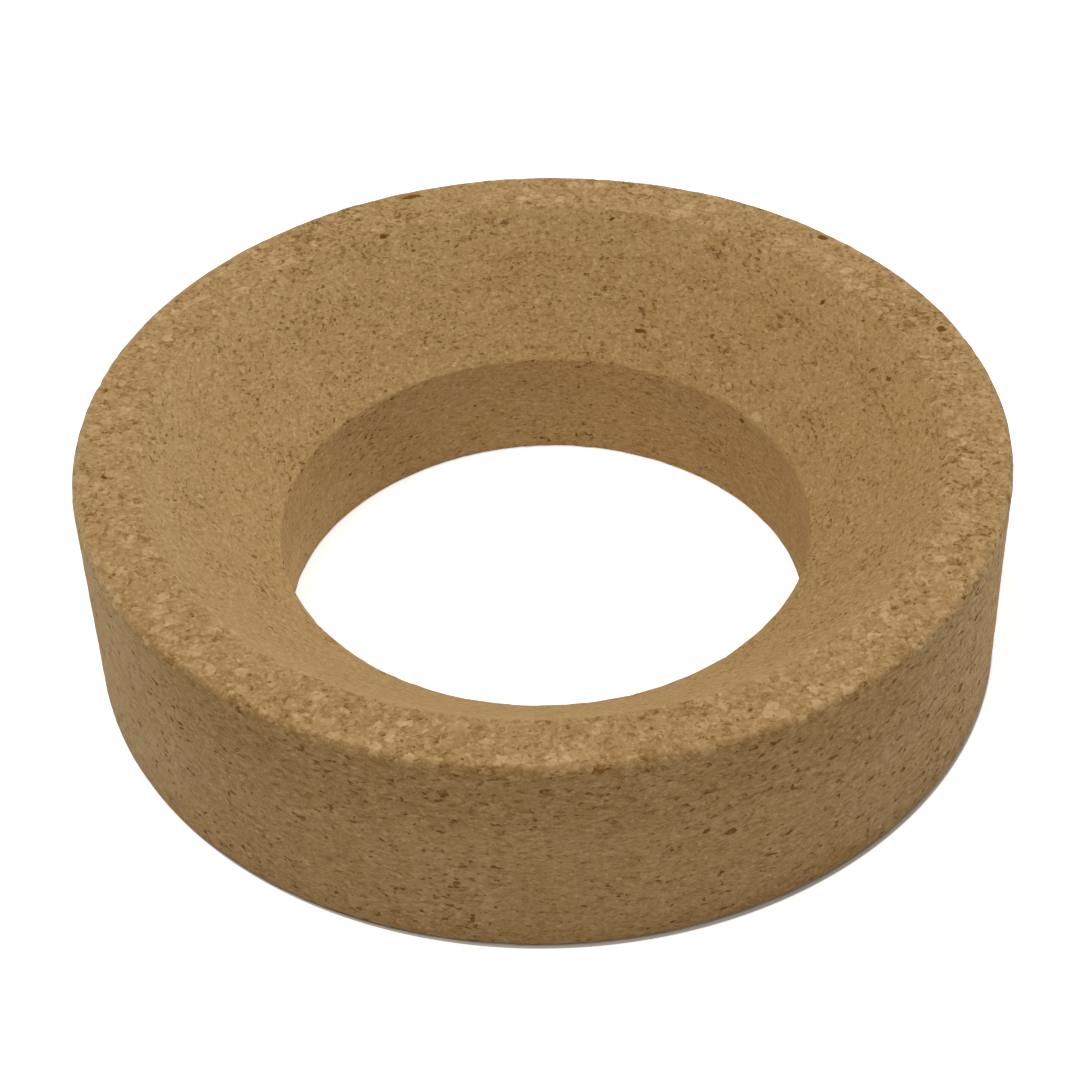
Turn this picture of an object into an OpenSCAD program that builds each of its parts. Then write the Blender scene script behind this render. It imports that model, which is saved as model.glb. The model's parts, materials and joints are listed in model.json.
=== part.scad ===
// Cork ring: a turned support ring for round-bottomed flasks.
// One piece of agglomerated cork. A flat base, a straight outer wall, a flat rim, and a conical seat
// that runs down from the rim to a straight bore. Every edge is eased by an arc that meets both of its
// sides within a hair of tangency.
// Lengths in millimetres. The axis is +Z and the origin is the centre of the base.

/* [Ring] */
// Outer diameter of the ring
outer_d = 140; // [116:1:180]
// Height of the ring, base to rim
height = 35; // [28:0.5:50]
// Diameter of the straight bore below the seat
bore_d = 81.2; // [60:0.2:84]

/* [Seat] */
// Width of the flat rim between the outer wall and the seat
rim_w = 9.5; // [5:0.25:11.5]
// Depth of the conical seat below the rim
seat_depth = 16.6; // [8:0.1:20]

/* [Edges] */
// Radius of the rim's outer edge
rim_outer_edge = 1.1; // [0.4:0.1:3]
// Radius of the rim's inner edge, where the seat starts
rim_inner_edge = 0.9; // [0.2:0.1:1.5]
// Radius of the edge where the seat meets the bore
bore_top_edge = 0.7; // [0.2:0.1:1.5]
// Radius of the bore's lower edge
bore_foot_edge = 0.6; // [0.2:0.1:2]
// Radius of the base's outer edge
base_outer_edge = 0.8; // [0.2:0.1:2.5]

/* [Hidden] */

$fn = 180;

outer_r = outer_d / 2;
bore_r = bore_d / 2;
seat_top_r = outer_r - rim_w;
bore_wall = height - seat_depth;

// How far an edge's arc runs past true tangency, so that it crosses both of its sides.
overrun = 0.0005;

// The section's corners as [r, z, edge radius], anticlockwise from the foot of the bore.
SECTION = [
    [bore_r, 0, bore_foot_edge],
    [outer_r, 0, base_outer_edge],
    [outer_r, height, rim_outer_edge],
    [seat_top_r, height, rim_inner_edge],
    [bore_r, bore_wall, bore_top_edge],
];

function point(corner) = [corner[0], corner[1]];
function unit(v) = v / norm(v);

// What a rounded edge takes off a sharp corner: a kite from the arc's centre out past the corner,
// less the arc's circle. The kite's sides run through the points where the arc meets the sides.
module edge_waste(before, corner, after) {
    back = unit(point(before) - point(corner));
    on = unit(point(after) - point(corner));
    half_angle = acos(back * on) / 2;
    r = corner[2];
    inset = r - overrun;
    reach = inset / tan(half_angle);
    inward = unit(back + on) * inset / sin(half_angle);
    translate(point(corner) + inward) difference() {
        polygon(2 * [[0, 0], back * reach - inward, -inward, on * reach - inward]);
        circle(r);
    }
}

// The turned section in the half-plane r > 0, with each corner rounded.
module section() {
    n = len(SECTION);
    difference() {
        polygon([for (corner = SECTION) point(corner)]);
        for (i = [0 : n - 1])
            edge_waste(SECTION[(i + n - 1) % n], SECTION[i], SECTION[(i + 1) % n]);
    }
}

// The ring, turned from one block.
module cork_ring() {
    color("tan") rotate_extrude() section();
}

cork_ring();
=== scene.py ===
"""Cork ring: the finished surface of a turned ring of pressed cork, and the studio it stands in.

The ring is one closed surface of revolution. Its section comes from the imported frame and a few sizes
in millimetres, and its cork is worked out twice from the same ideas: as relief in the mesh, for what
has a shape, and as a solid pattern in the material, for what is finer than the mesh.
"""

import json
import logging
import math
from collections.abc import Iterator
from dataclasses import dataclass, field
from enum import Enum

import bpy
import numpy as np
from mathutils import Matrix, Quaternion, Vector


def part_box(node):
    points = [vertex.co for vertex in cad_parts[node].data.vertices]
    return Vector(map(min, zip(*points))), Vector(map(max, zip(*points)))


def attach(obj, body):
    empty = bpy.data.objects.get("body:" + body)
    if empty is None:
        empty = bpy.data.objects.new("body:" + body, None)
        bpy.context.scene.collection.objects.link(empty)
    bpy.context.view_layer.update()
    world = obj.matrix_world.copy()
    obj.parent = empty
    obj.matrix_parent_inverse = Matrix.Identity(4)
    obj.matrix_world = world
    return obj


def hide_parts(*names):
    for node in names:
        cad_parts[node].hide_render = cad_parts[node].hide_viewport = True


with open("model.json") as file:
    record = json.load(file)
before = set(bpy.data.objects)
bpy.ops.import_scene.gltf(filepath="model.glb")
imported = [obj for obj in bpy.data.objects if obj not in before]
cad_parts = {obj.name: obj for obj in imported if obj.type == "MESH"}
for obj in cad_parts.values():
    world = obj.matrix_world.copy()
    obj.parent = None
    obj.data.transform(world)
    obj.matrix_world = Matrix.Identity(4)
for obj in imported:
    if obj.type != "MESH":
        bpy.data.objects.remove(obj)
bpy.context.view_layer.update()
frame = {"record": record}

LOG = logging.getLogger("cork_ring")
BODY = "root"
NODE = "cork_ring"
BORE_MOUNT = "bore"
MM = 0.001
WHITE = (1.0, 1.0, 1.0, 1.0)


def tone(red: float, green: float, blue: float) -> tuple[float, float, float]:
    """Turns a colour as a painter's swatch shows it into the linear light that a shader works in.

    The curve between them is a straight line for the darkest values, and a power above it.

    Args:
        red: The swatch's red, from 0 to 255.
        green: The swatch's green, from 0 to 255.
        blue: The swatch's blue, from 0 to 255.

    Returns:
        The three linear values, from 0 to 1.
    """
    swatch = np.array([red, green, blue]) / 255
    linear = np.where(swatch <= 0.04045, swatch / 12.92, ((swatch + 0.055) / 1.055) ** 2.4)
    return tuple(float(value) for value in linear)


class Side(Enum):
    """The straight sides of the ring's section, in the order in which the section is drawn."""

    BASE = 0
    WALL = 1
    RIM = 2
    SEAT = 3
    BORE = 4


@dataclass(frozen=True)
class Corner:
    """One corner of the ring's section, in millimetres.

    Attributes:
        radius: Distance from the ring's axis.
        height: Height above the base.
        easing: Radius of the arc that rounds the corner.
        wear: How much the corner crumbles, from 0 to 1.
        arc_rows: Rows of faces along that arc.
        side_rows: Rows of faces along the straight side that follows.
    """

    radius: float
    height: float
    easing: float
    wear: float
    arc_rows: int
    side_rows: int


@dataclass(frozen=True)
class SectionPath:
    """The section as a closed run of points, in millimetres.

    Attributes:
        radius: Each point's distance from the axis.
        height: Each point's height above the base.
        out_radius: The outward normal's radial part at each point.
        out_height: The outward normal's upward part at each point.
        along: Distance along the section, with one value more than there are points.
        wear: How much each point may crumble, from 0 to 1, which is most at the corners.
    """

    radius: np.ndarray
    height: np.ndarray
    out_radius: np.ndarray
    out_height: np.ndarray
    along: np.ndarray
    wear: np.ndarray


@dataclass(frozen=True)
class TurnedSection:
    """The section that the ring is turned to, in millimetres.

    Attributes:
        outer_radius: Radius of the outer wall.
        ring_height: Height from the base to the rim.
        bore_radius: Radius of the straight bore.
        rim_width: Width of the flat rim.
        seat_depth: Depth of the conical seat below the rim.
        wear_reach: How far from a corner the cork crumbles.
        row_bias: How much closer the rows stand at a side's ends than at its middle, from 0 to 1.
    """

    outer_radius: float
    ring_height: float
    bore_radius: float
    rim_width: float = 9.5
    seat_depth: float = 16.6
    wear_reach: float = 1.1
    row_bias: float = 0.45

    def corners(self) -> list[Corner]:
        """Returns the five corners, anticlockwise from the foot of the bore."""
        seat_top = self.outer_radius - self.rim_width
        seat_foot = self.ring_height - self.seat_depth
        return [
            Corner(self.bore_radius, 0.0, easing=0.6, wear=0.15, arc_rows=4, side_rows=8),
            Corner(self.outer_radius, 0.0, easing=0.8, wear=0.2, arc_rows=5, side_rows=36),
            Corner(self.outer_radius, self.ring_height, easing=1.1, wear=1.0, arc_rows=7, side_rows=15),
            Corner(seat_top, self.ring_height, easing=0.9, wear=0.5, arc_rows=4, side_rows=36),
            Corner(self.bore_radius, seat_foot, easing=0.7, wear=0.35, arc_rows=5, side_rows=17),
        ]

    def path(self) -> SectionPath:
        """Works out the section as one closed run of points.

        At each corner the run follows an arc that is tangent to both sides: its centre lies on the
        corner's bisector, and a point on it is the centre plus the radius times a normal that turns
        evenly from one side's normal to the next. A straight side then runs to the next arc, with
        its rows drawn together at both ends.

        Returns:
            The points, their outward normals and their distances along the section.
        """
        corners = self.corners()
        places = np.array([(corner.radius, corner.height) for corner in corners])
        onward = np.roll(places, -1, axis=0) - places
        onward /= np.linalg.norm(onward, axis=1, keepdims=True)
        outward = np.stack([onward[:, 1], -onward[:, 0]], axis=1)
        centres, turns = [], []
        for i, corner in enumerate(corners):
            middle = outward[i - 1] + outward[i]
            reach = corner.easing / (1 + outward[i - 1] @ outward[i])
            centres.append(places[i] - middle * reach)
            start = math.atan2(outward[i - 1][1], outward[i - 1][0])
            end = math.atan2(outward[i][1], outward[i][0])
            turns.append((start, start + (end - start) % (2 * math.pi)))
        points, normals = [], []
        for i, corner in enumerate(corners):
            angle = np.linspace(*turns[i], corner.arc_rows + 1)
            normal = np.stack([np.cos(angle), np.sin(angle)], axis=1)
            arc = centres[i] + corner.easing * normal
            after = (i + 1) % len(corners)
            landing = centres[after] + corners[after].easing * outward[i]
            step = np.linspace(0, 1, corner.side_rows + 1)[1:-1, None]
            step = step - self.row_bias * np.sin(2 * np.pi * step) / (2 * np.pi)
            straight = arc[-1] + (landing - arc[-1]) * step
            points += [arc, straight]
            normals += [normal, np.broadcast_to(outward[i], straight.shape)]
        run, normal = np.concatenate(points), np.concatenate(normals)
        strides = np.linalg.norm(np.roll(run, -1, axis=0) - run, axis=1)
        away = np.linalg.norm(run[:, None] - places[None], axis=2)
        frailty = np.array([corner.wear for corner in corners])
        wear = (frailty * np.exp(-((away / self.wear_reach) ** 2))).max(axis=1)
        return SectionPath(run[:, 0], run[:, 1], normal[:, 0], normal[:, 1],
                           np.concatenate([[0.0], np.cumsum(strides)]), wear)

    def place(self, side: Side, across: float, azimuth: float) -> tuple[float, float, float]:
        """Finds a place on the ring's surface.

        Args:
            side: The side of the section it lies on.
            across: How far along that side, from 0 at its start to 1 at its end.
            azimuth: The angle round the axis from +X, in degrees.

        Returns:
            The place's coordinates, in millimetres.
        """
        corners = self.corners()
        start, end = corners[side.value], corners[(side.value + 1) % len(corners)]
        radius = start.radius + (end.radius - start.radius) * across
        height = start.height + (end.height - start.height) * across
        turn = math.radians(azimuth)
        return radius * math.cos(turn), radius * math.sin(turn), height


@dataclass(frozen=True)
class CellField:
    """Random cells that fill space, as granules do: one point in each unit of a shaken lattice.

    Attributes:
        size: The cells' mean width, in millimetres.
        press: How many times flatter than wide the cells are.
        seed: Which of the endless random fields this is.
    """

    size: float
    press: float
    seed: int

    HASH_STEPS = (0x9E3779B1, 0x85EBCA77, 0xC2B2AE3D, 0x27D4EB2F)
    HASH_SHIFT = 15
    WORD = 2.0 ** 32
    LEAST_WEIGHT = 1e-9

    def chances(self, cells: np.ndarray) -> np.ndarray:
        """Gives each lattice cell six fixed random numbers.

        The cell's three whole numbers are mixed into one word by multiplying and folding, and each
        further number comes from mixing that word again.

        Args:
            cells: Whole-numbered cell coordinates, one row each.

        Returns:
            Six numbers from 0 to 1 for each cell.
        """
        word = np.full(len(cells), self.seed, np.uint32)
        for axis in range(3):
            number = cells[:, axis].astype(np.int64).astype(np.uint32)
            word = (word ^ number) * np.uint32(self.HASH_STEPS[axis])
            word ^= word >> np.uint32(self.HASH_SHIFT)
        numbers = []
        for _ in range(6):
            word = word * np.uint32(self.HASH_STEPS[3]) + np.uint32(self.HASH_STEPS[0])
            word ^= word >> np.uint32(self.HASH_SHIFT)
            numbers.append(word / self.WORD)
        return np.stack(numbers, axis=1)

    def neighbours(self, points: np.ndarray) -> Iterator[tuple[np.ndarray, np.ndarray]]:
        """Walks the cells round each point.

        Args:
            points: Places in millimetres, one row each.

        Yields:
            For each of the 27 neighbouring cells, the distance from each point to the cell's own
            point in cell widths, and the cell's three spare random numbers.
        """
        spot = points / self.size * np.array([1.0, 1.0, self.press])
        home = np.floor(spot)
        for shift in np.ndindex(3, 3, 3):
            cells = home + np.array(shift) - 1
            chance = self.chances(cells)
            yield np.linalg.norm(cells + chance[:, :3] - spot, axis=1), chance[:, 3:]

    def heights(self, points: np.ndarray, sharpness: float = 9.0) -> np.ndarray:
        """Blends a random level for each cell into a soft, lumpy field.

        The field is the mean of the neighbouring cells' levels, each weighted by a bell curve of its
        distance.

        Args:
            points: Places in millimetres, one row each.
            sharpness: How quickly a cell's weight falls with distance.

        Returns:
            A level from -1 to 1 at each point.
        """
        total, weight = np.zeros(len(points)), np.full(len(points), self.LEAST_WEIGHT)
        for distance, chance in self.neighbours(points):
            share = np.exp(-sharpness * distance ** 2)
            total += share * (2 * chance[:, 0] - 1)
            weight += share
        return total / weight

    def hollows(self, points: np.ndarray, share: float, smallest: float, largest: float) -> np.ndarray:
        """Puts a round hollow in some of the cells.

        A hollow is as deep as a smooth step from its rim to its middle, and its radius is random.

        Args:
            points: Places in millimetres, one row each.
            share: The share of cells that have a hollow.
            smallest: The least radius, in cell widths.
            largest: The greatest radius, in cell widths.

        Returns:
            The depth at each point, from 0 on the open surface to 1 in the middle of a hollow.
        """
        depth = np.zeros(len(points))
        for distance, chance in self.neighbours(points):
            radius = smallest + (largest - smallest) * chance[:, 1] ** 2
            inside = np.clip(1 - distance / radius, 0, 1) * (chance[:, 0] < share)
            depth = np.maximum(depth, inside * inside * (3 - 2 * inside))
        return depth


@dataclass(frozen=True)
class Ripple:
    """A slow, smooth wander: a sum of random plane waves.

    Attributes:
        wavelength: The waves' mean length, in millimetres.
        waves: How many waves are summed.
        seed: The seed of their directions and phases.
        spread: The least and greatest length, as shares of the mean.
    """

    wavelength: float
    waves: int
    seed: int
    spread: tuple[float, float] = (0.7, 1.6)

    def at(self, points: np.ndarray) -> np.ndarray:
        """Sums the cosines of each point's distance along every wave's direction.

        Args:
            points: Places in millimetres, one row each.

        Returns:
            A value of about -1 to 1 at each point.
        """
        rng = np.random.default_rng(self.seed)
        heading = rng.normal(size=(3, self.waves))
        heading /= np.linalg.norm(heading, axis=0)
        heading *= 2 * np.pi / (self.wavelength * rng.uniform(*self.spread, self.waves))
        phase = rng.uniform(0, 2 * np.pi, self.waves)
        return np.cos(points @ heading + phase).sum(axis=1) / math.sqrt(self.waves)


@dataclass(frozen=True)
class Relief:
    """How far the worked cork stands off the true section, in millimetres.

    Attributes:
        wander: How far the slow waviness left by the turning moves the surface.
        lump: How far granules stand proud or low.
        pit_depth: Depth of the largest open pores.
        chip_depth: Depth of the crumbs lost along the edges.
        granules: The granules.
        crumbs: The crumbs that the edges lose.
        pores: The open pores.
        drift: That waviness.
        fray: What makes the pores' outlines ragged.
        fray_reach: How far it moves them.
        fray_shifts: How far apart it is read for the three directions.
    """

    wander: float = 0.05
    lump: float = 0.05
    pit_depth: float = 0.55
    chip_depth: float = 0.40
    granules: CellField = CellField(size=2.3, press=1.5, seed=11)
    crumbs: CellField = CellField(size=2.6, press=1.2, seed=23)
    pores: CellField = CellField(size=5.5, press=1.6, seed=37)
    drift: Ripple = Ripple(wavelength=34.0, waves=24, seed=5)
    fray: Ripple = Ripple(wavelength=2.6, waves=32, seed=9)
    fray_reach: float = 0.25
    fray_shifts: tuple[float, float, float] = (0.0, 7.0, 13.0)

    def pits(self, points: np.ndarray) -> np.ndarray:
        """Returns how deep each point lies in an open pore, from 0 to 1, with ragged outlines."""
        frayed = np.stack([self.fray.at(points + shift) for shift in self.fray_shifts], axis=1)
        return self.pores.hollows(points + self.fray_reach * frayed, share=0.30, smallest=0.08, largest=0.24)

    def chips(self, points: np.ndarray, wear: np.ndarray) -> np.ndarray:
        """Returns how much each point has crumbled, from 0 to 1, which happens only where there is wear."""
        return wear * self.crumbs.hollows(points, share=0.38, smallest=0.30, largest=0.75)

    def offset(self, points: np.ndarray, wear: np.ndarray) -> tuple[np.ndarray, np.ndarray]:
        """Works out the relief.

        It is the slow waviness plus the granules' levels, less the pores and the crumbled edges.

        Args:
            points: Places on the true section, in millimetres, one row each.
            wear: How much each place may crumble, from 0 to 1.

        Returns:
            The distance along the outward normal and the crumbling at each point.
        """
        pits, chips = self.pits(points), self.chips(points, wear)
        level = self.wander * self.drift.at(points) + self.lump * self.granules.heights(points)
        return level - self.pit_depth * pits - self.chip_depth * chips, chips


@dataclass(frozen=True)
class Fleck:
    """One fleck that stands out on the ring.

    Attributes:
        side: The side of the section it lies on.
        across: Where it lies along that side, from 0 at its start to 1 at its end.
        azimuth: Where it lies round the axis, in degrees from +X.
        width: Its width round the ring, in millimetres.
        height: Its width along the section, in millimetres.
        tint: How pale it is if positive, or how dark if negative, from -1 to 1.
        fall: How quickly its strength falls from its middle.
    """

    side: Side
    across: float
    azimuth: float
    width: float
    height: float
    tint: float
    fall: float = 3.0

    def at(self, points: np.ndarray, section: TurnedSection) -> np.ndarray:
        """Lays the fleck on the surface.

        Its strength falls off as a bell curve of the distance from its middle, where the part of the
        distance that runs round the ring is measured against the width, and the rest against the height.

        Args:
            points: Places on the ring, in millimetres, one row each.
            section: The ring's section.

        Returns:
            The fleck's tint at each point.
        """
        turn = math.radians(self.azimuth)
        away = points - np.array(section.place(self.side, self.across, self.azimuth))
        round_part = away @ np.array([-math.sin(turn), math.cos(turn), 0.0])
        rest = (away ** 2).sum(axis=1) - round_part ** 2
        distance = (round_part / self.width) ** 2 + rest / self.height ** 2
        return self.tint * np.exp(-self.fall * distance)


class Wire:
    """A number that runs through a shader: arithmetic on it adds Math nodes."""

    def __init__(self, graph: "Graph", socket: bpy.types.NodeSocket) -> None:
        """Wraps an output socket of a node of that graph."""
        self.graph = graph
        self.socket = socket

    def __add__(self, other: "Wire | float") -> "Wire":
        """Returns self + other."""
        return self.graph.maths("ADD", self, other)

    __radd__ = __add__

    def __sub__(self, other: "Wire | float") -> "Wire":
        """Returns self - other."""
        return self.graph.maths("SUBTRACT", self, other)

    def __rsub__(self, other: "Wire | float") -> "Wire":
        """Returns other - self."""
        return self.graph.maths("SUBTRACT", other, self)

    def __mul__(self, other: "Wire | float") -> "Wire":
        """Returns self * other."""
        return self.graph.maths("MULTIPLY", self, other)

    __rmul__ = __mul__

    def fade(self, low: float, high: float) -> "Wire":
        """Returns a smooth step: 0 where self is at or past low, and 1 where it is at or past high."""
        return self.graph.add("ShaderNodeMapRange", {"interpolation_type": "SMOOTHSTEP"},
                              {"Value": self, "From Min": low, "From Max": high})["Result"]


class Built:
    """A node that has been added: indexing it by a socket's name gives that output."""

    def __init__(self, graph: "Graph", node: bpy.types.Node) -> None:
        """Wraps a node of that graph."""
        self.graph = graph
        self.node = node

    def __getitem__(self, name: str) -> Wire:
        """Returns the output of that name which is in use."""
        return Wire(self.graph, next(out for out in self.node.outputs if out.name == name and out.enabled))


class Graph:
    """The node tree of a material or a world, built by calls instead of by hand."""

    def __init__(self, owner: bpy.types.Material | bpy.types.World) -> None:
        """Takes the owner's node tree and empties it."""
        owner.use_nodes = True
        self.tree = owner.node_tree
        self.tree.nodes.clear()

    def add(self, kind: str, settings: dict | None = None, inputs: dict | None = None) -> Built:
        """Adds a node.

        Args:
            kind: The node's type name.
            settings: Its properties, which are set first because they change its sockets.
            inputs: Values or wires, by the socket's name or its number.

        Returns:
            The node, wrapped.
        """
        node = self.tree.nodes.new(kind)
        for name, value in (settings or {}).items():
            setattr(node, name, value)
        for name, value in (inputs or {}).items():
            socket = node.inputs[name] if isinstance(name, int) else next(
                put for put in node.inputs if put.name == name and put.enabled)
            if isinstance(value, Wire):
                self.tree.links.new(value.socket, socket)
            else:
                socket.default_value = value
        return Built(self, node)

    def maths(self, operation: str, *values: Wire | float) -> Wire:
        """Adds a Math node for that operation on those values, and returns its result."""
        return self.add("ShaderNodeMath", {"operation": operation}, dict(enumerate(values)))["Value"]

    def vector(self, operation: str, *values: Wire | tuple, scale: Wire | float | None = None) -> Wire:
        """Adds a Vector Math node for that operation, and returns its vector."""
        inputs = dict(enumerate(values))
        if scale is not None:
            inputs["Scale"] = scale
        return self.add("ShaderNodeVectorMath", {"operation": operation}, inputs)["Vector"]

    def measure(self, operation: str, *values: Wire | tuple) -> Wire:
        """Adds a Vector Math node for that operation, and returns the number that it gives."""
        return self.add("ShaderNodeVectorMath", {"operation": operation}, dict(enumerate(values)))["Value"]

    def reading(self, name: str) -> Wire:
        """Returns the value of that name which the surface holds at each point."""
        return self.add("ShaderNodeAttribute", {"attribute_name": name})["Fac"]

    def blend(self, share: Wire | float, under: Wire | tuple, over: Wire | tuple) -> Wire:
        """Mixes two colours.

        Args:
            share: How much of the second colour shows.
            under: The first colour.
            over: The second colour.

        Returns:
            The mixed colour.
        """
        paint = [value if isinstance(value, Wire) else (*value, 1.0) for value in (under, over)]
        return self.add("ShaderNodeMix", {"data_type": "RGBA", "clamp_factor": True},
                        {"Factor": share, "A": paint[0], "B": paint[1]})["Result"]

    def noise(self, place: Wire, grain: float, detail: float = 2.0, roughness: float = 0.5) -> Built:
        """Adds smooth noise whose features are about grain wide, in the units of place."""
        return self.add("ShaderNodeTexNoise", {},
                        {"Vector": place, "Scale": 1 / grain, "Detail": detail, "Roughness": roughness})

    def cells(self, place: Wire, width: float, feature: str = "F1") -> Built:
        """Adds random cells about width across, in the units of place."""
        return self.add("ShaderNodeTexVoronoi", {"feature": feature}, {"Vector": place, "Scale": 1 / width})

    def parts(self, colour: Wire) -> tuple[Wire, Wire, Wire]:
        """Splits a colour into its three channels."""
        split = self.add("ShaderNodeSeparateColor", {}, {"Color": colour})
        return split["Red"], split["Green"], split["Blue"]


def layered(*layers: tuple[Wire, Wire | float]) -> Wire:
    """Adds up layers, where each is a pattern and its strength: the sum of pattern times strength."""
    return sum(pattern * strength for pattern, strength in layers)


@dataclass(frozen=True)
class Zones:
    """Where on the ring a point lies. The shares run from 0 to 1 and fade into each other.

    Attributes:
        radius: Its distance from the axis, in millimetres.
        height: Its height above the base, in millimetres.
        lean: How far it lies towards the seat's green side, from -1 to 1.
        front: How far it lies towards the front, from -1 to 1.
        left: How far it lies towards the left, from -1 to 1.
        rim: The share that is rim.
        rim_front: The share that is the rim's front.
        bored: The share that is bore.
        outside: The share that is outer wall.
        upright: The share that is either of these walls.
        inside: The share that is seat or bore.
        boldness: How bold the pattern is, where 1 is the boldest.
    """

    radius: Wire
    height: Wire
    lean: Wire
    front: Wire
    left: Wire
    rim: Wire
    rim_front: Wire
    bored: Wire
    outside: Wire
    upright: Wire
    inside: Wire
    boldness: Wire

    def strength(self, plain: float, **added: float) -> Wire:
        """Works out how strongly something shows here.

        Args:
            plain: Its strength everywhere.
            added: What is added to that in each zone, by the zone's name above.

        Returns:
            The strength at the point.
        """
        return sum((getattr(self, zone) * more for zone, more in added.items()), plain)


@dataclass(frozen=True)
class Grain:
    """The solid pattern of the cork at a point.

    Attributes:
        granule: Three random numbers of the granule it lies in, from 0 to 1.
        granule_heart: The share that is the granule's heart.
        crumb: Three random numbers of the crumb it lies in, from 0 to 1.
        crumb_heart: The share that is the crumb's heart.
        flake: Three random numbers of the flat flake it lies in, from 0 to 1.
        seam: The share that is a seam between granules.
        streak: Fine streaks that lie flat, from about -0.5 to 0.5.
        grit: Fine grit, from about -0.5 to 0.5.
        mark: Three smooth patterns from which marks are cut, from 0 to 1.
        fleck: The same, but finer.
        cluster: A slow pattern that gathers the marks, from about -0.5 to 0.5.
        patch: Three slow patterns that tint the cork, from 0 to 1.
        placed: The tint of the flecks that are placed one by one.
        crumbled: How much an edge has crumbled.
    """

    granule: tuple[Wire, Wire, Wire]
    granule_heart: Wire
    crumb: tuple[Wire, Wire, Wire]
    crumb_heart: Wire
    flake: tuple[Wire, Wire, Wire]
    seam: Wire
    streak: Wire
    grit: Wire
    mark: tuple[Wire, Wire, Wire]
    fleck: tuple[Wire, Wire, Wire]
    cluster: Wire
    patch: tuple[Wire, Wire, Wire]
    placed: Wire
    crumbled: Wire


@dataclass(frozen=True)
class Marks:
    """The marks that show in both the colour and the relief, each as a share from 0 to 1.

    Attributes:
        worn: Broad, faint dark marks.
        groove: The faint, broken groove that the turning left.
        gap: Gaps between the granules.
        scar: The dark flecks that are placed one by one.
    """

    worn: Wire
    groove: Wire
    gap: Wire
    scar: Wire


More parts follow.
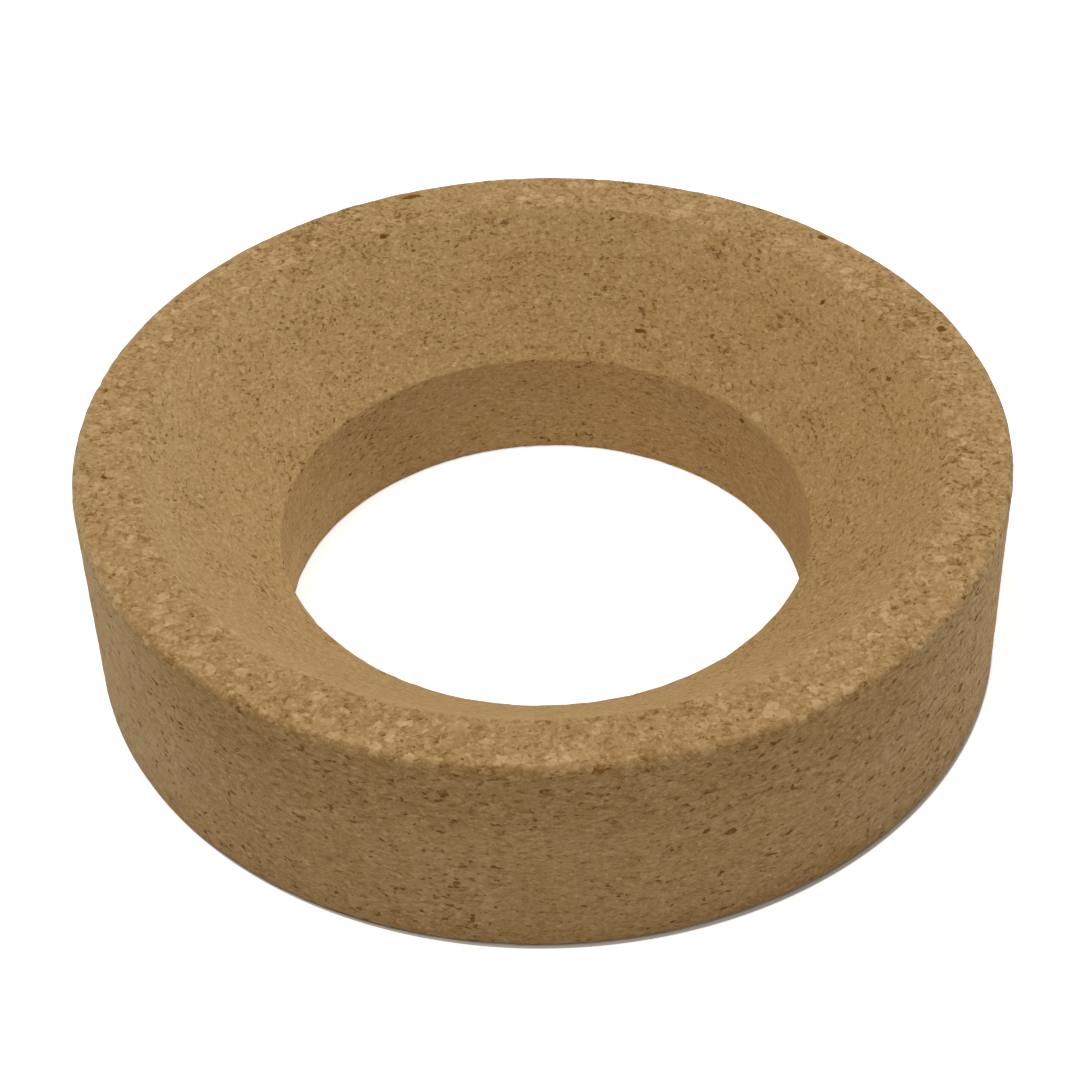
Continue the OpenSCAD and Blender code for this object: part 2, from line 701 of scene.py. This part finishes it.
@dataclass(frozen=True)
class PressedCork:
    """Agglomerated cork: fine granules pressed flat along the axis, with gaps and flecks of bark.

    Lengths are in millimetres. A press is how many times flatter than wide a pattern is.

    Attributes:
        top: Height of the rim.
        bore: Radius of the bore.
        wall: Radius of the outer wall.
        seat: Radius of the seat's upper edge.
        name: The finish's name.
        press: The press of the granules and crumbs.
        mark_press: The press of the marks.
        streak_press: The press of the streaks and flakes.
        stir_width: Width of the swirls that tear the pattern.
        granule_width: Width of the granules.
        crumb_width: Width of the crumbs.
        flake_width: Width of the flakes.
        streak_width: Width of the streaks.
        grit_width: Width of the grit.
        mark_widths: Width of the marks inside, and on the outer wall.
        fleck_width: Width of the finest marks.
        cluster_width: Width of the clusters of marks.
        patch_width: Width of the tinted patches.
        rim_edge: Between which heights from the rim's own its bolder grain fades in.
        bore_edge: Between which distances from the bore's radius its grain fades out.
        wall_edge: Between which distances from the wall's radius its grain fades in.
        seat_edge: Between which distances from the seat's radius its grain fades out.
        roughness: How matt the cork is.
        shine: How strong what little shine it has is.
        groove_radius: Radius of the groove in the seat.
        olive_azimuth: Where the seat is greenest, in degrees from +X, where its painted sheen lies.
        front_azimuth: Where the front is, in degrees from +X.
        left_azimuth: Where the left is, in degrees from +X.
        body: The colour of the rim and the outer wall.
        inner_painted_shade: A darker, warmer copy of the body colour for the seat and the bore: painted
            shade, warmed as by light bounced between cork faces.
        ruddy: The colour of the seat's red patches, which lean to its right back as painted bounced light.
        olive: The colour of its green patches, which lean to its left front as a painted sheen.
        sheen_grey: The paler, greyer colour of the outer wall's flanks, a painted sheen, mottled by slow
            patches.
        pale: The colour of the palest granules.
        bark: The colour of the darkest granules.
        hollow: The colour of the gaps.
    """

    top: float
    bore: float
    wall: float
    seat: float
    name: str = "pressed_cork"
    press: float = 1.5
    mark_press: float = 1.75
    streak_press: float = 2.2
    stir_width: float = 1.1
    granule_width: float = 2.1
    crumb_width: float = 0.95
    flake_width: float = 1.5
    streak_width: float = 1.3
    grit_width: float = 0.7
    mark_widths: tuple[float, float] = (1.0, 1.7)
    fleck_width: float = 0.58
    cluster_width: float = 8.0
    patch_width: float = 16.0
    rim_edge: tuple[float, float] = (-2.6, -0.4)
    bore_edge: tuple[float, float] = (0.3, 1.5)
    wall_edge: tuple[float, float] = (-1.5, -0.3)
    seat_edge: tuple[float, float] = (-0.4, 0.2)
    roughness: float = 0.85
    shine: float = 0.12
    groove_radius: float = 54.0
    olive_azimuth: float = 212.0
    front_azimuth: float = 266.0
    left_azimuth: float = 180.0
    body: tuple[float, float, float] = tone(190, 153, 102)
    # A darker, warmer copy of the body colour: painted shade on the seat and the bore.
    inner_painted_shade: tuple[float, float, float] = tone(186, 150, 97)
    ruddy: tuple[float, float, float] = tone(192, 148, 91)
    olive: tuple[float, float, float] = tone(185, 152, 101)
    # A paler, greyer colour for the outer wall's flanks: a painted sheen.
    sheen_grey: tuple[float, float, float] = tone(191, 160, 114)
    pale: tuple[float, float, float] = tone(218, 183, 133)
    bark: tuple[float, float, float] = tone(134, 94, 38)
    hollow: tuple[float, float, float] = tone(121, 74, 10)

    def pressed(self, graph: Graph, at: Wire, press: float) -> Wire:
        """Returns the place in millimetres, drawn out along the axis so that what fills it is flat."""
        return graph.vector("MULTIPLY", at, (1 / MM, 1 / MM, press / MM))

    def towards(self, graph: Graph, place: Wire, azimuth: float) -> Wire:
        """Returns how far a place lies towards that azimuth, from -1 to 1 across the ring."""
        turn = math.radians(azimuth)
        heading = (math.cos(turn) / self.wall, math.sin(turn) / self.wall, 0.0)
        return graph.measure("DOT_PRODUCT", place, heading)

    def zones(self, graph: Graph, at: Wire) -> Zones:
        """Works out which part of the ring a point lies on, from its radius, height and azimuth.

        Args:
            graph: The material's node tree.
            at: The point, in object coordinates.

        Returns:
            The zones.
        """
        level_place = self.pressed(graph, at, 0.0)
        radius = graph.measure("LENGTH", level_place)
        height = graph.add("ShaderNodeSeparateXYZ", {}, {"Vector": at})["Z"] * (1 / MM)
        lean, front, left = (self.towards(graph, level_place, azimuth)
                             for azimuth in (self.olive_azimuth, self.front_azimuth, self.left_azimuth))
        rim = (height - self.top).fade(*self.rim_edge)
        bored = 1.0 - (radius - self.bore).fade(*self.bore_edge)
        outside = (radius - self.wall).fade(*self.wall_edge)
        inside = 1.0 - (radius - self.seat).fade(*self.seat_edge)
        boldness = 1.0 - layered(
            (bored, 0.17),
            (outside, 0.06),
            (outside * front.fade(0.3, 0.8), 0.20),
            (inside * lean.fade(0.1, 0.7), 0.14),
            (inside * front.fade(0.5, 0.9), 0.30),
            (inside * left.fade(-0.3, -0.8), 0.10),
        )
        return Zones(radius=radius, height=height, lean=lean, front=front, left=left, rim=rim,
                     rim_front=rim * front.fade(0.2, 0.8), bored=bored, outside=outside,
                     upright=bored + outside, inside=inside, boldness=boldness)

    def grain(self, graph: Graph, at: Wire, zones: Zones) -> Grain:
        """Fills space with granules, crumbs, flakes, streaks, grit and marks.

        The cells and the marks are torn: each place is moved by a swirling noise before it is looked
        up, so that their outlines are ragged.

        Args:
            graph: The material's node tree.
            at: The point, in object coordinates.
            zones: Where on the ring the point lies.

        Returns:
            The grain.
        """
        place = self.pressed(graph, at, self.press)
        flat = self.pressed(graph, at, self.streak_press)
        swirl = graph.vector("SUBTRACT", graph.noise(place, self.stir_width)["Color"], (0.5, 0.5, 0.5))

        def torn(place: Wire, reach: Wire | float) -> Wire:
            """Returns a place moved by the swirl, as far as reach says."""
            return graph.vector("ADD", place, graph.vector("SCALE", swirl, scale=reach))

        cell_place = torn(place, reach=2.1)
        mark_place = torn(self.pressed(graph, at, self.mark_press), reach=zones.strength(0.9, outside=0.6))
        granule = graph.cells(cell_place, self.granule_width)
        crumb = graph.cells(cell_place, self.crumb_width)
        edge = graph.cells(cell_place, self.granule_width, "DISTANCE_TO_EDGE")["Distance"]
        flake = graph.cells(torn(flat, reach=1.5), self.flake_width)
        inner, outer = (graph.noise(mark_place, width, detail=1.0)["Color"] for width in self.mark_widths)
        return Grain(
            granule=graph.parts(granule["Color"]),
            granule_heart=1.0 - granule["Distance"].fade(0.34, 0.66),
            crumb=graph.parts(crumb["Color"]),
            crumb_heart=1.0 - crumb["Distance"].fade(0.30, 0.75),
            flake=graph.parts(flake["Color"]),
            seam=1.0 - edge.fade(0.02, 0.16),
            streak=graph.noise(flat, self.streak_width, detail=3.0, roughness=0.66)["Fac"] - 0.5,
            grit=graph.noise(place, self.grit_width, detail=2.0, roughness=0.52)["Fac"] - 0.5,
            mark=graph.parts(graph.blend(zones.outside, inner, outer)),
            fleck=graph.parts(graph.noise(mark_place, self.fleck_width, detail=1.0)["Color"]),
            cluster=graph.noise(place, self.cluster_width)["Fac"] - 0.5,
            patch=graph.parts(graph.noise(place, self.patch_width, detail=2.0)["Color"]),
            placed=graph.reading("flecked"),
            crumbled=graph.reading("crumbled"),
        )

    def marks(self, graph: Graph, zones: Zones, grain: Grain) -> Marks:
        """Cuts the marks out of the grain, where its patterns pass a threshold.

        Args:
            graph: The material's node tree.
            zones: Where on the ring the point lies.
            grain: The grain there.

        Returns:
            The marks.
        """
        off_line = graph.maths("ABSOLUTE", zones.radius - self.groove_radius + grain.streak * 0.6)
        broken = (grain.cluster + grain.crumb[2] * 0.3).fade(0.10, 0.26)
        gathered = grain.mark[0] + layered(
            (grain.cluster, zones.strength(0.40, outside=-0.15)),
            (grain.grit, 0.45),
            (zones.inside, -0.022),
            (zones.rim_front, -0.012),
        )
        return Marks(
            worn=(grain.mark[2] + grain.cluster * 0.2 + grain.grit * 0.5).fade(0.60, 0.70),
            groove=(1.0 - off_line.fade(0.06, 0.22)) * (0.15 - zones.lean).fade(0.0, 0.3) * broken,
            gap=gathered.fade(0.66, 0.785),
            scar=(grain.grit * 0.8 - grain.placed).fade(0.30, 0.55),
        )

    def paleness(self, zones: Zones, grain: Grain, marks: Marks) -> Wire:
        """Adds up how pale or dark the cork is.

        The fine pattern is as bold as the zone lets it be. The single marks and the slow changes over
        the ring are added to that as they are; some of those slow changes are painted light and painted
        shade.

        Args:
            zones: Where on the ring the point lies.
            grain: The grain there.
            marks: The marks there.

        Returns:
            A value from about -1, which is bark, through 0, which is plain cork, to 1, the palest.
        """
        granule, crumb, strength = grain.granule, grain.crumb, zones.strength
        height, front, left, outside = zones.height, zones.front, zones.left, zones.outside
        fine = layered(
            # Streaks, grit, and each flake's, granule's and crumb's own tint.
            (grain.streak, strength(0.35, upright=0.40)),
            (grain.grit, strength(1.28, rim_front=-0.30)),
            (grain.flake[1] - 0.5, strength(0.10, upright=0.18)),
            ((granule[1] - 0.5) * grain.granule_heart, strength(0.09, rim=0.34, rim_front=0.12)),
            ((crumb[1] - 0.5) * grain.crumb_heart, strength(0.28, rim_front=0.14)),
            # The palest granules and crumbs, and pale marks.
            (granule[0].fade(0.66, 1.0) * grain.granule_heart, strength(0.05, rim=0.44, rim_front=0.20)),
            (crumb[0].fade(0.75, 1.0) * grain.crumb_heart, strength(0.20, rim=0.12, outside=0.14)),
            ((grain.mark[1] + grain.grit * 0.5).fade(0.61, 0.72), 0.34),
            (grain.fleck[1].fade(0.60, 0.72), strength(0.40, outside=0.15)),
            # The darkest granules and crumbs, dark marks, and the seams.
            ((1.0 - granule[0].fade(0.0, 0.24)) * grain.granule_heart, strength(-0.05, rim=-0.26)),
            ((1.0 - crumb[0].fade(0.0, 0.22)) * grain.crumb_heart, -0.28),
            (marks.worn, strength(-0.52, rim_front=0.20)),
            (grain.fleck[2].fade(0.60, 0.74), strength(-0.34, outside=-0.25, rim_front=0.16)),
            (grain.seam, strength(-0.04, rim=-0.18)),
        )
        single = layered(
            # The placed pale flecks, the groove, the clusters on the wall, and freshly broken edges.
            ((grain.placed + grain.grit * 0.8).fade(0.30, 0.60), 0.65),
            (marks.groove, -0.28),
            (grain.cluster * outside, 0.42),
            (grain.crumbled * (crumb[1] - 0.35), 0.6),
        )
        slow = layered(
            # The rim's front, which is darker; the seat, which is paler; and the seat's top, painted paler
            # still: painted light where the seat's upper part catches more light than its depth.
            (zones.rim_front, -0.07),
            (zones.inside, 0.08),
            (zones.inside * height.fade(29.0, 34.5), 0.14),
            # The bore, which is paler, and its left foot, painted paler still: a painted pool of light
            # bounced up from the floor inside the hole.
            (zones.bored, 0.06),
            (zones.bored * left.fade(0.30, 0.55) * (1.0 - height.fade(1.0, 13.0)), 0.45),
            # The outer wall, which is darker; its left, painted paler as painted light; its foot, painted
            # darker as painted shade near the floor; and its front's top, which is darker.
            (outside, -0.13),
            (outside * left.fade(0.50, 1.0), 0.35),
            (outside * (1.0 - height.fade(1.0, 6.0)), -0.17),
            (outside * height.fade(19.0, 28.0) * front.fade(0.5, 0.9), -0.17),
        )
        return fine * zones.boldness + single + slow

    def colour(self, graph: Graph, zones: Zones, grain: Grain, marks: Marks) -> Wire:
        """Tints the cork in slow patches, then lightens, darkens and stains it.

        Args:
            graph: The material's node tree.
            zones: Where on the ring the point lies.
            grain: The grain there.
            marks: The marks there.

        Returns:
            The colour.
        """
        patch, side, front = grain.patch, zones.lean * 0.7, zones.front
        # The seat's patches are the cork's own. Their lean, greener towards the grazing left front and
        # redder towards the right back, is painted light: a painted sheen and painted bounced light. The
        # wall is painted paler and greyer away from its front, a painted sheen on its flanks.
        green_share = (patch[1] - 0.5 + side).fade(0.05, 0.80)
        red_share = (patch[0] - 0.5 - side).fade(0.05, 0.80) * (1.0 - front.fade(0.3, 0.8))
        # Painted sheen: the outer wall is painted paler and greyer away from its front, mottled by patches.
        sheen_share = ((patch[1] - 0.5) * 1.2 + 0.95 - front).fade(0.0, 0.70)
        # The seat and the bore take a darker, warmer copy of the body colour: painted shade.
        colour = graph.blend(zones.inside, self.body, self.inner_painted_shade)
        colour = graph.blend(green_share * zones.inside, colour, self.olive)
        colour = graph.blend(red_share * zones.inside, colour, self.ruddy)
        colour = graph.blend(sheen_share * zones.outside, colour, self.sheen_grey)
        value = self.paleness(zones, grain, marks)
        colour = graph.blend(0.0 - value, colour, self.bark)
        colour = graph.blend(value, colour, self.pale)
        stain = graph.maths("MAXIMUM", marks.gap * zones.strength(0.62, upright=0.20), marks.scar * 0.96)
        return graph.blend(stain, colour, self.hollow)

    def level(self, graph: Graph, zones: Zones, grain: Grain, marks: Marks) -> Wire:
        """Works out the fine relief: the tints' patterns again, as heights, less the marks' depths.

        Args:
            graph: The material's node tree.
            zones: Where on the ring the point lies.
            grain: The grain there.
            marks: The marks there.

        Returns:
            The height, in millimetres.
        """
        hole = graph.maths("MAXIMUM", marks.gap, marks.scar)
        return zones.boldness * layered(
            ((grain.crumb[2] - 0.5) * grain.crumb_heart, 0.05),
            (grain.streak, zones.strength(0.07, upright=0.16)),
            (grain.grit, 0.15),
            (grain.flake[2] - 0.5, zones.strength(0.02, upright=0.07)),
            (hole, zones.strength(-0.20, outside=-0.14, rim=0.07)),
            (marks.worn, -0.10),
            (marks.groove, -0.08),
        )

    def material(self) -> bpy.types.Material:
        """Builds the finish.

        Returns:
            The material, with its colour and fine relief from one solid pattern.
        """
        material = bpy.data.materials.new(self.name)
        graph = Graph(material)
        at = graph.add("ShaderNodeTexCoord")["Object"]
        zones = self.zones(graph, at)
        grain = self.grain(graph, at, zones)
        marks = self.marks(graph, zones, grain)
        height = self.level(graph, zones, grain, marks)
        bump = graph.add("ShaderNodeBump", {}, {"Strength": 1.0, "Distance": MM, "Height": height})["Normal"]
        colour = self.colour(graph, zones, grain, marks)
        surface = graph.add("ShaderNodeBsdfPrincipled", {},
                            {"Base Color": colour, "Roughness": self.roughness,
                             "Specular IOR Level": self.shine, "Normal": bump})["BSDF"]
        graph.add("ShaderNodeOutputMaterial", {}, {"Surface": surface})
        return material


@dataclass
class CorkRing:
    """The whole ring, as one closed surface.

    Attributes:
        section: The section it is turned to.
        finish: Its cork.
        relief: How its surface departs from that section.
        flecks: The flecks that stand out.
        fleck_depth: How deep the darkest fleck lies, in millimetres.
        columns: Columns of faces round the axis.
        strips: How many strips the surface is cut into for its flat map.
        strip_gap: The margin round each strip, as a share of the map.
        base_share: How much of its true length the base is given on the map.
    """

    section: TurnedSection
    finish: PressedCork
    relief: Relief = field(default_factory=Relief)
    flecks: tuple[Fleck, ...] = (
        Fleck(Side.RIM, 0.29, 23, width=1.3, height=1.3, tint=-1.0),
        Fleck(Side.RIM, 0.18, 49, width=1.5, height=1.2, tint=-1.0),
        Fleck(Side.RIM, 0.22, 110, width=3.4, height=1.3, tint=-0.7),
        Fleck(Side.RIM, 0.50, 188, width=1.1, height=0.8, tint=-0.9),
        Fleck(Side.RIM, 0.38, 337, width=0.9, height=0.9, tint=-0.9),
        Fleck(Side.RIM, 0.50, 296, width=1.1, height=1.0, tint=-0.6),
        Fleck(Side.RIM, 0.70, 236, width=1.0, height=1.0, tint=-0.6),
        Fleck(Side.SEAT, 0.04, 117, width=2.2, height=0.9, tint=-0.7),
        Fleck(Side.SEAT, 0.06, 80, width=0.9, height=0.9, tint=-0.8),
        Fleck(Side.SEAT, 0.15, 40, width=0.8, height=0.8, tint=-1.0),
        Fleck(Side.SEAT, 0.21, 19, width=1.1, height=0.8, tint=-0.9),
        Fleck(Side.SEAT, 0.75, 71, width=2.4, height=0.45, tint=-0.9),
        Fleck(Side.BORE, 0.08, 40, width=1.1, height=1.1, tint=-0.8),
        Fleck(Side.WALL, 0.27, 291, width=1.3, height=0.9, tint=-1.0),
        Fleck(Side.WALL, 0.95, 266, width=1.8, height=0.8, tint=-0.6),
        Fleck(Side.SEAT, 0.96, 36, width=2.4, height=1.3, tint=0.9),
        Fleck(Side.SEAT, 0.95, 112, width=1.0, height=1.0, tint=0.8),
        Fleck(Side.SEAT, 0.79, 108, width=0.8, height=0.8, tint=0.8),
        Fleck(Side.RIM, 0.15, 247, width=2.2, height=1.6, tint=0.9),
        Fleck(Side.RIM, 0.17, 252, width=1.6, height=1.6, tint=0.8),
        Fleck(Side.RIM, 0.11, 238, width=1.5, height=1.3, tint=0.8),
        Fleck(Side.RIM, 0.15, 333, width=1.3, height=1.4, tint=0.8),
        Fleck(Side.RIM, 0.48, 335, width=1.9, height=1.1, tint=0.7),
        Fleck(Side.RIM, 0.43, 273, width=1.2, height=1.1, tint=0.8),
        Fleck(Side.RIM, 0.64, 308, width=1.6, height=1.2, tint=0.7),
    )
    fleck_depth: float = 0.3
    columns: int = 720
    strips: int = 2
    strip_gap: float = 0.003
    base_share: float = 0.6

    def surface(self) -> tuple[np.ndarray, np.ndarray, dict[str, np.ndarray]]:
        """Works out the ring's points.

        A point is given by an angle round the axis and a row of the section: the section's point is
        turned by the angle, and moved along its normal by the relief there.

        Returns:
            The points in metres, row by row; the rows' distances along the section; and the values at
            each point that the finish reads, by name.
        """
        path = self.section.path()
        turn = np.arange(self.columns) / self.columns * 2 * np.pi
        cosine, sine = np.cos(turn), np.sin(turn)

        def spin(radial: np.ndarray, upward: np.ndarray) -> np.ndarray:
            """Turns a value of the section round the axis, as one row for each point."""
            across = np.stack([np.outer(radial, cosine), np.outer(radial, sine)], axis=-1)
            up = np.broadcast_to(upward[:, None, None], (*across.shape[:2], 1))
            return np.concatenate([across, up], axis=-1).reshape(-1, 3)

        points = spin(path.radius, path.height)
        outward = spin(path.out_radius, path.out_height)
        offset, chips = self.relief.offset(points, np.repeat(path.wear, self.columns))
        flecks = sum((fleck.at(points, self.section) for fleck in self.flecks), np.zeros(len(points)))
        points = points + outward * (offset + self.fleck_depth * np.minimum(flecks, 0))[:, None]
        points[:, 2] = np.clip(points[:, 2], 0.0, self.section.ring_height)
        return points * MM, path.along, {"crumbled": chips, "flecked": flecks}

    def faces(self, rows: int) -> tuple[np.ndarray, np.ndarray, np.ndarray]:
        """Joins the points into four-sided faces, round the axis and round the section.

        Args:
            rows: How many rows of points there are.

        Returns:
            The faces' point numbers, and each face corner's row and column as they stand before the
            last row or column meets the first.
        """
        row, column = np.divmod(np.arange(rows * self.columns), self.columns)
        corner_row = row[:, None] + np.array([0, 0, 1, 1])
        corner_column = column[:, None] + np.array([0, 1, 1, 0])
        points = (corner_row % rows) * self.columns + corner_column % self.columns
        return points, corner_row, corner_column

    def flat_map(self, along: np.ndarray, row: np.ndarray, column: np.ndarray) -> np.ndarray:
        """Lays the surface flat: the ring is cut into equal sectors, and their strips are stacked.

        Args:
            along: The rows' distances along the section.
            row: Each face corner's row.
            column: Each face corner's column.

        Returns:
            Each face corner's place on the map.
        """
        width = self.columns // self.strips
        strip = column[:, :1] // width
        corners = self.section.corners()
        base_length = corners[1].radius - corners[0].radius
        base_start = along[corners[0].arc_rows]
        base_end = base_start + base_length
        saved = np.clip(along, base_start, base_end) - base_start
        pressed = along - (1 - self.base_share) * saved
        inner = 1 - 2 * self.strip_gap
        across = self.strip_gap + inner * (column - strip * width) / width
        up = (strip + self.strip_gap + inner * pressed[row] / pressed[-1]) / self.strips
        return np.stack([across, up], axis=-1).reshape(-1, 2)

    def build(self) -> bpy.types.Object:
        """Builds and dresses the ring.

        Returns:
            The ring's object.
        """
        points, along, readings = self.surface()
        faces, row, column = self.faces(len(along) - 1)
        mesh = bpy.data.meshes.new("cork_body")
        mesh.from_pydata(points, [], faces)
        for name, values in readings.items():
            mesh.attributes.new(name, "FLOAT", "POINT").data.foreach_set("value", values.astype(np.float32))
        flat = mesh.uv_layers.new(name="OFBake")
        flat.uv.foreach_set("vector", self.flat_map(along, row, column).astype(np.float32).ravel())
        mesh.polygons.foreach_set("use_smooth", np.ones(len(faces), bool))
        mesh.materials.append(self.finish.material())
        mesh.validate()
        mesh.update()
        ring = bpy.data.objects.new("cork_body", mesh)
        bpy.context.scene.collection.objects.link(ring)
        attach(ring, BODY)
        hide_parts(NODE)
        LOG.info("%s: %d points, %d faces", ring.name, len(points), len(faces))
        return ring


@dataclass(frozen=True)
class Lamp:
    """A square softbox that faces the ring.

    Attributes:
        name: Its name.
        azimuth: Where it stands, in degrees round from +X.
        elevation: How high it stands above the ring, in degrees.
        power: Its power, in watts.
        distance: How far it is, in metres.
        width: Its width, in metres.
    """

    name: str
    azimuth: float
    elevation: float
    power: float
    distance: float = 1.4
    width: float = 0.7

    def build(self) -> bpy.types.Object:
        """Puts the lamp in the scene, and returns its object."""
        light = bpy.data.lights.new(self.name, "AREA")
        light.size = self.width
        light.energy = self.power
        turn, lift = math.radians(self.azimuth), math.radians(self.elevation)
        away = Vector((math.cos(turn) * math.cos(lift), math.sin(turn) * math.cos(lift), math.sin(lift)))
        lamp = bpy.data.objects.new(self.name, light)
        lamp.location = away * self.distance
        lamp.rotation_euler = away.to_track_quat("Z", "Y").to_euler()
        bpy.context.scene.collection.objects.link(lamp)
        return lamp


@dataclass(frozen=True)
class Viewpoint:
    """Where the camera stands and how it looks.

    Its lens is shifted a little, as a view camera's is, so that the picture's plane is steeper than the
    line from the camera to the ring.

    Attributes:
        place: Where it stands from the centre of the ring's base, in metres.
        heading: Which way it looks, in degrees from +Y towards +X.
        elevation: How far it looks down, in degrees.
        roll: How far it is turned about the lens's axis, in degrees.
        lens: Focal length, in millimetres.
        shift: How far right and up from the lens's axis the picture's middle lies, in picture widths.
    """

    place: tuple[float, float, float] = (0.0109, -0.3136, 0.2858)
    heading: float = -0.06
    elevation: float = 43.66
    roll: float = -0.33
    lens: float = 89.1
    shift: tuple[float, float] = (-0.07, 0.12)

    def build(self) -> bpy.types.Object:
        """Puts the camera in the scene, and returns its object."""
        turn, lift = math.radians(self.heading), math.radians(self.elevation)
        ahead = Vector((math.sin(turn) * math.cos(lift), math.cos(turn) * math.cos(lift), -math.sin(lift)))
        facing = ahead.to_track_quat("-Z", "Y") @ Quaternion((0, 0, 1), math.radians(self.roll))
        data = bpy.data.cameras.new("camera")
        data.lens = self.lens
        data.shift_x, data.shift_y = self.shift
        camera = bpy.data.objects.new("camera", data)
        camera.location = self.place
        camera.rotation_euler = facing.to_euler()
        bpy.context.scene.collection.objects.link(camera)
        bpy.context.scene.camera = camera
        return camera


@dataclass
class Studio:
    """A plain white studio: a pale floor, soft lamps, and the camera.

    Attributes:
        footprint: Radius of what stands on the floor, in millimetres.
        floor_width: The floor's width, in metres.
        floor_drop: How far the floor lies below the ring, in metres.
        floor_tone: How much light the floor throws back.
        white: How pale the floor looks.
        glow: What is added to the look of the floor near the ring to make it white.
        far: From where to where, in millimetres from the ring, that grows to full white.
        contact: How much wider than the footprint the painted shadow round the ring's foot is, in
            millimetres.
        contact_blur: How far its edge fades to each side, in millimetres.
        contact_start: Where that painted shadow begins under the ring, from the footprint, in millimetres.
        contact_shift: Where that painted shadow's centre lies, in millimetres.
        painted_shadow_tone: How the floor is painted in that painted shadow.
        lamps: The lamps.
        viewpoint: The camera's place.
    """

    footprint: float
    floor_width: float = 6.0
    floor_drop: float = 0.00005
    floor_tone: float = 0.88
    white: float = 0.95
    glow: float = 0.62
    far: tuple[float, float] = (120.0, 500.0)
    contact: float = -0.40
    contact_blur: float = 0.14
    contact_start: tuple[float, float] = (-2.0, -1.9)
    contact_shift: tuple[float, float, float] = (0.35, -0.86, 0.0)
    # The floor's colour in its painted shadow round the ring's foot.
    painted_shadow_tone: tuple[float, float, float] = (0.62, 0.58, 0.52)
    lamps: tuple[Lamp, ...] = (
        Lamp("right_low", azimuth=0, elevation=20, power=1.2),
        Lamp("right_back", azimuth=45, elevation=35, power=5.2),
        Lamp("right_back_low", azimuth=45, elevation=20, power=2.3),
        Lamp("left_back", azimuth=135, elevation=20, power=2.6),
        Lamp("left_front_low", azimuth=225, elevation=20, power=1.2),
        Lamp("right_front", azimuth=315, elevation=35, power=3.1),
        Lamp("overhead_left", azimuth=180, elevation=70, power=4.0),
        Lamp("overhead_front", azimuth=225, elevation=70, power=6.2),
    )
    viewpoint: Viewpoint = field(default_factory=Viewpoint)

    def seen(self, graph: Graph) -> Wire:
        """Returns 1 for rays that show a thing to the eye, even by reflection, and 0 for the rest."""
        ray = graph.add("ShaderNodeLightPath")
        mirrored = graph.maths("MAXIMUM", ray["Is Glossy Ray"], ray["Is Transmission Ray"])
        return graph.maths("MAXIMUM", ray["Is Camera Ray"], mirrored)

    def floor(self) -> bpy.types.Object:
        """Lays the floor, which shows white except in a painted shadow round the ring's foot, where its look
        is painted darker on top of its real shading.

        Returns:
            The floor's object.
        """
        half = self.floor_width / 2
        corners = np.array([(-half, -half), (half, -half), (half, half), (-half, half)])
        mesh = bpy.data.meshes.new("floor")
        mesh.from_pydata(np.column_stack([corners, np.full(4, -self.floor_drop)]), [], [(0, 1, 2, 3)])
        material = bpy.data.materials.new("white_floor")
        graph = Graph(material)
        seen = self.seen(graph)
        place = graph.vector("SCALE", graph.add("ShaderNodeTexCoord")["Object"], scale=1 / MM)
        away = graph.vector("SUBTRACT", place, self.contact_shift)
        reach = graph.measure("LENGTH", away) - self.footprint
        edge = (self.contact - self.contact_blur, self.contact + self.contact_blur)
        # shade is a painted shadow: a ring round the foot, set off to the front, where the floor is painted
        # darker and loses its white glow, on top of its real shading.
        shade = reach.fade(*self.contact_start) * (1.0 - reach.fade(*edge))
        paint = graph.blend(seen, (self.floor_tone,) * 3, (self.white,) * 3)
        paint = graph.blend(seen * shade, paint, self.painted_shadow_tone)
        matt = graph.add("ShaderNodeBsdfDiffuse", {}, {"Color": paint})["BSDF"]
        strength = seen * (self.glow + (1.0 - self.glow) * reach.fade(*self.far)) * (1.0 - shade)
        glow = graph.add("ShaderNodeEmission", {}, {"Color": WHITE, "Strength": strength})
        both = graph.add("ShaderNodeAddShader", {}, {0: matt, 1: glow["Emission"]})["Shader"]
        graph.add("ShaderNodeOutputMaterial", {}, {"Surface": both})
        mesh.materials.append(material)
        floor = bpy.data.objects.new("floor", mesh)
        bpy.context.scene.collection.objects.link(floor)
        return floor

    def sky(self) -> None:
        """Sets the world, which is white to the eye and in reflections, and sends no light of its own."""
        world = bpy.data.worlds.new("studio")
        bpy.context.scene.world = world
        graph = Graph(world)
        glow = graph.add("ShaderNodeBackground", {}, {"Color": WHITE, "Strength": self.seen(graph)})
        graph.add("ShaderNodeOutputWorld", {}, {"Surface": glow["Background"]})

    def build(self) -> None:
        """Sets up the floor, the lamps, the world, the camera and the plain view transform."""
        self.floor()
        self.sky()
        for lamp in self.lamps:
            lamp.build()
        self.viewpoint.build()
        bpy.context.scene.view_settings.view_transform = "Standard"
        LOG.info("studio: %d lamps", len(self.lamps))


def ring_section() -> TurnedSection:
    """Takes the ring's outside from the frame's box and its bore from the stated mount.

    Returns:
        The section, in millimetres.
    """
    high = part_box(NODE)[1]
    bore = next(mount for mount in frame["record"]["mounts"] if mount["name"] == BORE_MOUNT)
    return TurnedSection(outer_radius=high.x / MM, ring_height=high.z / MM,
                         bore_radius=bore["dims"]["r_mm"])


def main() -> None:
    """Builds the studio and the ring."""
    logging.basicConfig(level=logging.INFO, format="%(name)s: %(message)s")
    section = ring_section()
    Studio(footprint=section.outer_radius).build()
    cork = PressedCork(top=section.ring_height, bore=section.bore_radius, wall=section.outer_radius,
                       seat=section.outer_radius - section.rim_width)
    CorkRing(section, cork).build()


if __name__ == "__main__":
    main()
